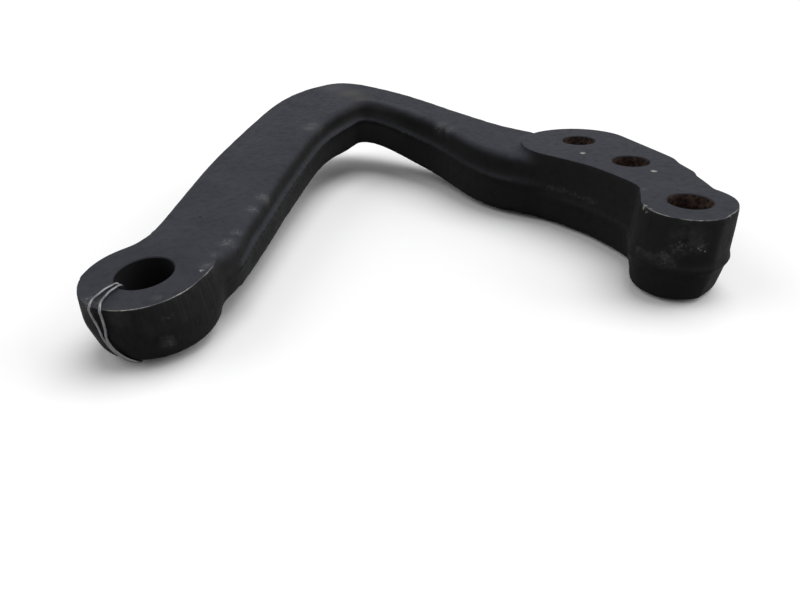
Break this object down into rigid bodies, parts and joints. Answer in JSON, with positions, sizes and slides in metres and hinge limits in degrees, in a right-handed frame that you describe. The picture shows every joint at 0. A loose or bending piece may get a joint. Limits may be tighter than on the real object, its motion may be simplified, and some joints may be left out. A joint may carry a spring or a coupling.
{
  "type": "steering spindle arm",
  "caption": "Forged V-shaped steering arm with a thick machined bolt pad at one end and a tapered eye for a ball stud at the other, with a doubled tag wire looped through the eye.",
  "frame": {"origin": "on the machined face of the bolt pad, midway between its two main bolt holes", "axes": "+Z out of the machined face, +Y from the end hole of the pad through the middle hole, +X away from the eye"},
  "size_m": [0.2558, 0.263, 0.0513],
  "materials": {
    "steering_arm": "matt charcoal over forged steel, worn bright on the edges",
    "tag_wire": "bright drawn wire"
  },
  "bodies": {
    "root": {"steering_arm": "steering_arm", "tag_wire": "tag_wire"}
  },
  "joints": []
}
